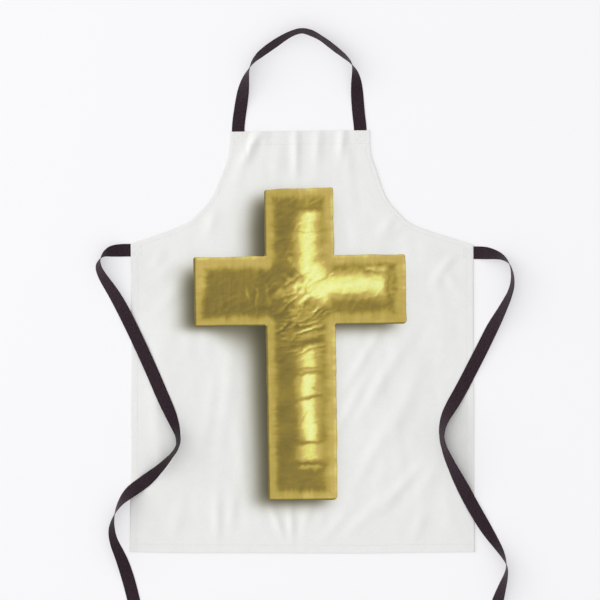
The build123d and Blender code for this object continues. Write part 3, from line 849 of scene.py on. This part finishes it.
# %% Lights along the crest
# Strokes from x, y to x, y in mm from the crossing: width, softness of the ends, strength.
CREST_LIGHTS = [
    (20, 156, 16, 112, 38, 7, 0.97), (16, 120, 15, 30, 46, 9, 0.97), (12, 186, 18, 160, 34, 9, 0.34),
    (12, 55, 46, 12, 58, 20, 1.0), (2, 24, 14, -28, 54, 16, 0.86), (14, -2, 62, -1, 54, 14, 0.97),
    (4, 11, 172, 9, 49, 12, 0.98), (134, 22, 168, 22, 30, 9, 0.88), (10, -4, 12, -95, 42, 20, 0.50),
    (36, 26, 53, 45, 7, 6, 0.88), (50, 22, 68, 37, 6, 6, 0.86), (72, 20, 92, 33, 6, 6, 0.80),
    (98, 20, 112, 31, 5, 5, 0.60), (13, -112, 16, -164, 40, 8, 0.92), (14, -166, 16, -214, 42, 6, 1.0),
    (14, -216, 16, -300, 37, 5, 1.0), (2, -240, 4, -278, 15, 10, 0.55),
    (15, -301, 17, -341, 48, 8, 0.87), (10, -314, 24, -316, 20, 8, 0.97),
    (-8, -355, 34, -352, 8, 8, 0.55), (130, 41, 174, 41, 13, 8, 0.78), (180, 38, 183, -14, 13, 9, 0.36),
    (60, -36, 188, -40, 22, 18, 0.17), (-50, -12, -5, -4, 44, 24, 0.26),
    (-106, 9, -104, -15, 5, 6, 0.34), (-90, 10, -86, -24, 6, 8, 0.36), (-66, 16, -62, -26, 8, 8, 0.28),
    (-22, 72, -11, 52, 9, 6, 0.46), (-34, 36, -13, 16, 10, 7, 0.40), (-46, 8, -24, -12, 9, 7, 0.34),
    (-30, 12, -8, 30, 7, 6, 0.36), (2, -62, 24, -84, 8, 7, 0.42), (-30, -30, 6, -58, 12, 10, 0.45),
    (-20, -52, 14, -72, 9, 8, 0.50), (-36, -6, -14, -34, 12, 8, 0.38), (-8, 66, 2, 26, 14, 9, 0.60),
    (-12, 92, -4, 74, 12, 7, 0.45),
]
# Creases that cut through the lights, from x, y to x, y: width, strength.
CREST_CREASES = [
    (-14, -304, 44, -301, 4.5, 0.40), (-16, -346, 38, -345, 6, 0.55), (-12, -158, 36, -154, 4.5, 0.42),
    (8, -216, 40, -213, 4, 0.40), (-14, -106, 40, -98, 6, 0.45), (-10, -128, 22, -118, 4, 0.30),
    (22, -196, 42, -206, 5, 0.20), (0, -262, 12, -240, 4, 0.15), (124, 33, 160, 36, 5, 0.25),
    (64, -6, 110, -14, 6, 0.20), (-12, -74, 34, -66, 5, 0.40), (-12, 44, 8, 24, 5, 0.30),
]


# %% Light and dark of the print
def crest_light(x0, y0, x, y):
    """The long light along the padding's crest and the small ones beside it: the strongest
    stroke at each place, cut by the creases. x0, y0 is a place and x, y the same place shifted a
    little, so that no stroke has a ruled edge. Gives the light and the shifted x in mm."""
    mm_x = x / MM + 3.4 * noise(x0, y0, 0.027, 91) + 1.2 * noise(x0, y0, 0.008, 93)
    mm_y = y / MM + 3.4 * noise(x0, y0, 0.027, 92) + 1.2 * noise(x0, y0, 0.008, 94)
    light = np.zeros(np.shape(x))
    for x1, y1, x2, y2, width, soft, strength in CREST_LIGHTS:
        light = np.maximum(light, strength * stroke(mm_x, mm_y, x1, y1, x2, y2, width, soft))
    for x1, y1, x2, y2, width, strength in CREST_CREASES:
        light *= 1 - strength * stroke(mm_x, mm_y, x1, y1, x2, y2, width, 5)
    return light, mm_x


def print_shine(x, y):
    """How bright the print is at a place in the cross's own frame: dark slopes, the crest's
    lights, small facets over both, then the pale rim and the dark lip at the left and below."""
    x0, y0 = x, y
    x = x + 2.0 * MM * (noise(x0, y0, 0.013, 71) + 0.6 * noise(x0, y0, 0.006, 72))
    y = y + 2.0 * MM * (noise(x0, y0, 0.013, 73) + 0.6 * noise(x0, y0, 0.006, 74))
    arm_end, upright_end = REACH - np.abs(x0), np.minimum(HEAD - y0, y0 + FOOT)
    upright = np.minimum(HALF_BAR - np.abs(x0), upright_end)
    arms = np.minimum(HALF_BAR - np.abs(y0), arm_end)
    inside = np.hypot(np.clip(upright, 0, None), np.clip(arms, 0, None)) / MM
    on_arm = step(-14 * MM, 14 * MM, arms - upright)
    end_on = step(14 * MM, -14 * MM, np.where(arms > upright, arm_end, upright_end) - 30 * MM)
    across = noise(x * 0.16, y, 0.0042, 75) * (1 - on_arm) + noise(x, y * 0.16, 0.0042, 76) * on_arm
    ended = noise(x, y * 0.16, 0.0042, 87) * (1 - on_arm) + noise(x * 0.16, y, 0.0042, 88) * on_arm
    streak = across * (1 - end_on) + ended * end_on
    # The soft body of the padding; its right slope faces the light.
    light, mm_x = crest_light(x0, y0, x, y)
    shine = 0.17 + 0.09 * noise(x0, y0, 0.034, 80) + 0.05 * noise(x0, y0, 0.013, 81)
    right_slope = step(28, 52, mm_x) * step(66, 52, mm_x) * (1 - on_arm)
    shine += 0.22 * right_slope + 0.05 * streak * step(60, 20, inside)
    shine = shine + (1 - shine) * light
    facets = crease_light(x, y)
    edge_of_light = 4 * light * (1 - light)
    shine += facets * (0.52 + 0.20 * edge_of_light - 0.36 * light) * step(12, 26, inside)
    # The rim: a pale band that fades into the slope in short wrinkles.
    band = 18 + 3.5 * noise(x0, y0, 0.021, 79) + 1.3 * streak
    band += 5 * on_arm * step(8 * MM, 40 * MM, -x0 * y0 / (60 * MM))
    rim = step(band + 9, band - 8, inside)
    tilt = 0.05 * np.sign(x0) * (1 - on_arm) + 0.04 * np.sign(y0) * on_arm
    border = 0.66 + tilt + 0.04 * streak + 0.05 * noise(x0, y0, 0.011, 85) + 0.08 * step(9, 2, inside)
    shine = shine * (1 - rim) + border * rim
    left = np.where(np.abs(y0) < HALF_BAR, x0 + REACH, x0 + HALF_BAR) / MM
    low = np.where(np.abs(x0) < HALF_BAR, y0 + FOOT, y0 + HALF_BAR) / MM
    lip = np.maximum(step(5.5, 0.5, np.abs(left)), 0.9 * step(4.5, 0.5, np.abs(low)))
    return shine - 0.85 * lip


co = points_of(cross)
right, up = to_cross(co[:, 0], co[:, 1] - lean(co[:, 0], co[:, 1]))
paint(cross, "ink", gold(print_shine(right, up)))
print("the print's colours are on", len(co), "points")

# %% [markdown]
# The shadow belongs to the print as well. It is the cross's own shape, moved to the left and
# down, and blurred. It is stored on the panel as a colour that darkens the canvas.


# %% Printed shadow
def soft_span(x, low, high, blur_low, blur_high):
    """About 1 between two places and 0 outside, with an S-shaped edge of its own blur at each."""
    return 1 / (1 + np.exp(-(x - low) / blur_low)) - 1 / (1 + np.exp(-(x - high) / blur_high))


def printed_shadow(x, y):
    """How much of the canvas's brightness the printed shadow takes, from 0 to about 0.65."""
    x, y = to_cross(x, y)
    x, y = x / MM, y / MM
    bar, reach, head, foot = HALF_BAR / MM, REACH / MM, HEAD / MM, FOOT / MM
    shift = 21 + 6 * step(-400, -100, y) - 9 * step(110, 200, y)
    under = 6 + 17 * step(-200, -100, x) * step(40, -40, x) + 3 * step(0, 40, x)
    upright = soft_span(x, -bar - shift, bar - 22, 10.5, 9) * soft_span(y, -foot - 9.5, head - 18, 7, 8)
    arms = soft_span(x, -reach - 20, reach - 26, 10, 9) * soft_span(y, -bar - under, bar - 26, 0.8 * under, 9)
    return 1 - (1 - upright) * (1 - arms)


co = points_of(panel)
dark = printed_shadow(co[:, 0], co[:, 1])[:, None]
DEPTH, OLIVE = 0.68, np.array([1.0, 1.04, 1.25])     # blue goes darker than red
shade = (1 - DEPTH * dark)**(2.2 * OLIVE)
paint(panel, "printed_shadow", np.clip(shade, 0.02, 1))
print(f"the shadow takes up to {dark.max() * DEPTH:.2f} of the canvas's tone")

# %% [markdown]
# ## Finishes
#
# All materials are plain dielectrics. What tells them apart is colour, how rough they are and
# the pattern of their threads.


# %% Node helpers
def add(tree, kind, inputs=None, **settings):
    """One shader node: its settings, and its inputs as values or as sockets to link from."""
    node = tree.nodes.new("ShaderNode" + kind)
    for key, value in settings.items():
        setattr(node, key, value)
    for key, value in (inputs or {}).items():
        if isinstance(value, bpy.types.NodeSocket):
            tree.links.new(value, node.inputs[key])
        else:
            node.inputs[key].default_value = value
    return node


def new_material(name):
    """An empty node material."""
    material = bpy.data.materials.new(name)
    material.use_nodes = True
    material.node_tree.nodes.clear()
    return material, material.node_tree


def rgba(hex_colour):
    """A colour socket's value for an sRGB hex colour."""
    return (*linear(hex_colour), 1.0)


def weave(tree, place, pitch):
    """A plain weave's height, 0 to 1, from two crossed waves of one yarn pitch."""
    scale = 2 * math.pi / pitch / 2
    split = add(tree, "SeparateXYZ", {"Vector": place})
    waves = []
    for axis in ("X", "Y"):
        turned = add(tree, "Math", {0: split.outputs[axis], 1: scale}, operation="MULTIPLY")
        waves.append(add(tree, "Math", {0: turned.outputs[0]}, operation="SINE").outputs[0])
    both = add(tree, "Math", {0: waves[0], 1: waves[1]}, operation="MULTIPLY")
    return add(tree, "Math", {0: both.outputs[0], 1: 0.5, 2: 0.5}, operation="MULTIPLY_ADD").outputs[0]


def mottle(tree, place, size, low, high):
    """A soft noise of one size, mapped to a range of multipliers."""
    cloud = add(tree, "TexNoise", {"Vector": place, "Scale": 1 / size, "Detail": 3.0, "Roughness": 0.55})
    spread = add(tree, "MapRange", {"Value": cloud.outputs["Fac"], "From Min": 0.3, "From Max": 0.7,
                                    "To Min": low, "To Max": high})
    return spread.outputs["Result"]


def product(tree, colour, other):
    """Two colours multiplied."""
    mix = add(tree, "Mix", {6: colour, 7: other, 0: 1.0}, data_type="RGBA", blend_type="MULTIPLY")
    return mix.outputs[2]


def times(tree, colour, factor):
    """A colour made lighter or darker by a number."""
    grey = add(tree, "CombineXYZ", {"X": factor, "Y": factor, "Z": factor})
    return product(tree, colour, grey.outputs[0])


def plain(tree, hex_colour):
    """One flat colour, from its sRGB hex."""
    node = add(tree, "RGB")
    node.outputs[0].default_value = rgba(hex_colour)
    return node.outputs[0]


def surface(tree, colour, roughness, specular, height=None, depth=0.1 * MM, strength=0.25, **more):
    """The dielectric surface that ends every fabric's nodes, with a bump where it has a height."""
    inputs = {"Base Color": colour, "Roughness": roughness, "Specular IOR Level": specular, **more}
    if height is not None:
        bump = add(tree, "Bump", {"Height": height, "Strength": strength, "Distance": depth})
        inputs["Normal"] = bump.outputs[0]
    shader = add(tree, "BsdfPrincipled", inputs)
    add(tree, "OutputMaterial", {"Surface": shader.outputs[0]})


# %% Canvas
# A matt white cotton canvas. It gives the eye a soft, slightly cool white and a fine even grain.
# The real yarns lie 0.5 mm apart; they are drawn 1 mm apart, so that the weave shows close by.
CANVAS_WHITE, YARNS = "E8E8E6", 1.0 * MM
canvas, tree = new_material("white_cotton_canvas")
place = add(tree, "TexCoord").outputs["Object"]
shadow = add(tree, "Attribute", attribute_name="printed_shadow")
shaded = product(tree, plain(tree, CANVAS_WHITE), shadow.outputs["Color"])
cloudy = times(tree, shaded, mottle(tree, place, 28 * MM, 0.985, 1.01))
grain = times(tree, cloudy, mottle(tree, place, 3.5 * MM, 0.985, 1.015))
surface(tree, grain, 0.92, 0.15, weave(tree, place, YARNS))

# %% Hem canvas
# The turned-under layers are the same canvas without the print's shadow.
hem_canvas, tree = new_material("white_cotton_canvas_hem")
place = add(tree, "TexCoord").outputs["Object"]
cloudy = times(tree, plain(tree, CANVAS_WHITE), mottle(tree, place, 28 * MM, 0.985, 1.01))
surface(tree, cloudy, 0.92, 0.15, weave(tree, place, YARNS))

# %% Webbing
# Dark plum-brown cotton-polyester tape. Slanting ribs and a fuzz of fibre ends catch a little
# light where a face is steep. The real ribs are 0.9 mm apart and the specks about 1 mm wide; the
# ribs are drawn 2 mm apart and the specks 4 mm wide, so that they don't vanish.
webbing, tree = new_material("dark_plum_webbing")
fabric = add(tree, "Attribute", attribute_name="on_fabric").outputs["Vector"]
split = add(tree, "SeparateXYZ", {"Vector": fabric})
slant = add(tree, "Math", {0: split.outputs["X"], 1: split.outputs["Y"]}, operation="ADD")
turned = add(tree, "Math", {0: slant.outputs[0], 1: 2 * math.pi / (2.0 * MM)}, operation="MULTIPLY")
rib = add(tree, "Math", {0: turned.outputs[0]}, operation="SINE")
rib_height = add(tree, "Math", {0: rib.outputs[0], 1: 0.5, 2: 0.5}, operation="MULTIPLY_ADD")
speckled = times(tree, plain(tree, "291B23"), mottle(tree, fabric, 4.0 * MM, 0.50, 1.75))
surface(tree, speckled, 0.62, 0.14, rib_height.outputs[0], 0.25 * MM, 0.5,
        **{"Sheen Weight": 0.07, "Sheen Roughness": 0.5})

# %% Thread
# White sewing thread, a touch brighter and smoother than the canvas.
thread, tree = new_material("white_polyester_thread")
place = add(tree, "TexCoord").outputs["Object"]
twisted = times(tree, plain(tree, "E9E9E7"), mottle(tree, place, 2 * MM, 0.97, 1.02))
surface(tree, twisted, 0.6, 0.25)

# %% Gold print
# Ink on canvas: the golds come from the painted colours, and the surface is only a little
# smoother than the cloth. A fine crackle breaks the tones up the way crumpled foil does.
print_ink, tree = new_material("gold_printing_ink")
place = add(tree, "TexCoord").outputs["Object"]
ink = add(tree, "Attribute", attribute_name="ink")
crackle = times(tree, ink.outputs["Color"], mottle(tree, place, 2.4 * MM, 0.93, 1.07))
surface(tree, crackle, 0.7, 0.06, weave(tree, place, YARNS), strength=0.2)
print("materials:", [m.name for m in (canvas, hem_canvas, webbing, thread, print_ink)])

# %% [markdown]
# ## What moves with what
#
# The panel and everything sewn to it are one body, all but the neck strap. The neck strap is sewn to the
# panel and folds, but here it rides on no body: it gets its finish and stays where it was made.

# %% Bodies, materials and the parts they stand for
plan = [(panel, canvas, "canvas", ["front_panel"]), (cross, print_ink, "gold_print", ["cross_print"])]
plan += [(piece, hem_canvas, "canvas", [node]) for node, piece in hems.items()]
plan += [(piece, thread, "thread", [node]) for node, piece in (seams | tacks).items()]
for side, _ in SIDES:
    plan += [
        (ties[side][0], webbing, "webbing", [f"waist_tie_{side}"]),
        (tie_ends[side], webbing, "webbing", [f"waist_tie_end_{side}"]),
        (tips[side], webbing, "webbing", [f"tie_tip_{side}"]),
        (tip_seams[side], thread, "thread", []),
    ]
for piece, material, slot_name, nodes in plan:
    piece.data.materials.append(material)
    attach(piece, "apron")
    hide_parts(*nodes)
print(len(plan), "pieces ride on the apron")

# %% The neck strap, on no body
neck_strap.data.materials.append(webbing)
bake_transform(neck_strap)
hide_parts("neck_strap", "neck_strap_end_left", "neck_strap_end_right")

# %% [markdown]
# ## The setting
#
# A plain pale floor and soft light. Most of the light comes from everywhere, and a large soft
# lamp on the left adds the rest, so that raised edges of the straps and folds throw faint broad
# shadows to the right.

# %% Floor
HALF_FLOOR, FLOOR_DROP = 3.0, 0.4 * MM
corners = np.array([(-1, -1), (1, -1), (1, 1), (-1, 1)]) * HALF_FLOOR
floor = make_mesh("floor", np.c_[corners, np.full(4, -FLOOR_DROP)], np.array([[0, 1, 2, 3]]), smooth=False)
paper, tree = new_material("pale_floor")
# Half of its light is its own, so the shadows on it stay as faint as on a bright white sweep.
lit = add(tree, "BsdfDiffuse", {"Color": rgba("F6F5F7")})
glow = add(tree, "Emission", {"Color": rgba("F7F6F8"), "Strength": 1.0})
shader = add(tree, "MixShader", {0: 0.5, 1: lit.outputs[0], 2: glow.outputs[0]})
add(tree, "OutputMaterial", {"Surface": shader.outputs[0]})
floor.data.materials.append(paper)

# %% Light
scene = bpy.context.scene
scene.view_settings.view_transform = "Standard"
world = bpy.data.worlds.new("soft_room")
world.use_nodes = True
tree = world.node_tree
direction = add(tree, "SeparateXYZ", {"Vector": add(tree, "TexCoord").outputs["Generated"]})
from_left = add(tree, "MapRange", {"Value": direction.outputs["X"], "From Min": -1.0, "From Max": 1.0,
                                   "To Min": 1.38, "To Max": 0.62})
background = tree.nodes["Background"]
tree.links.new(from_left.outputs["Result"], background.inputs["Color"])
background.inputs["Strength"].default_value = 0.935
scene.world = world
lamp_data = bpy.data.lights.new("left_softbox", "AREA")
lamp_data.shape = "RECTANGLE"
lamp_data.size, lamp_data.size_y = 3.0, 2.4
lamp_data.energy = 62
lamp = bpy.data.objects.new("left_softbox", lamp_data)
lamp.location = (-4.2, 1.2, 1.6)         # low and far, so it lights the whole panel evenly
lamp.rotation_euler = Vector(lamp.location).to_track_quat("Z", "Y").to_euler()
scene.collection.objects.link(lamp)
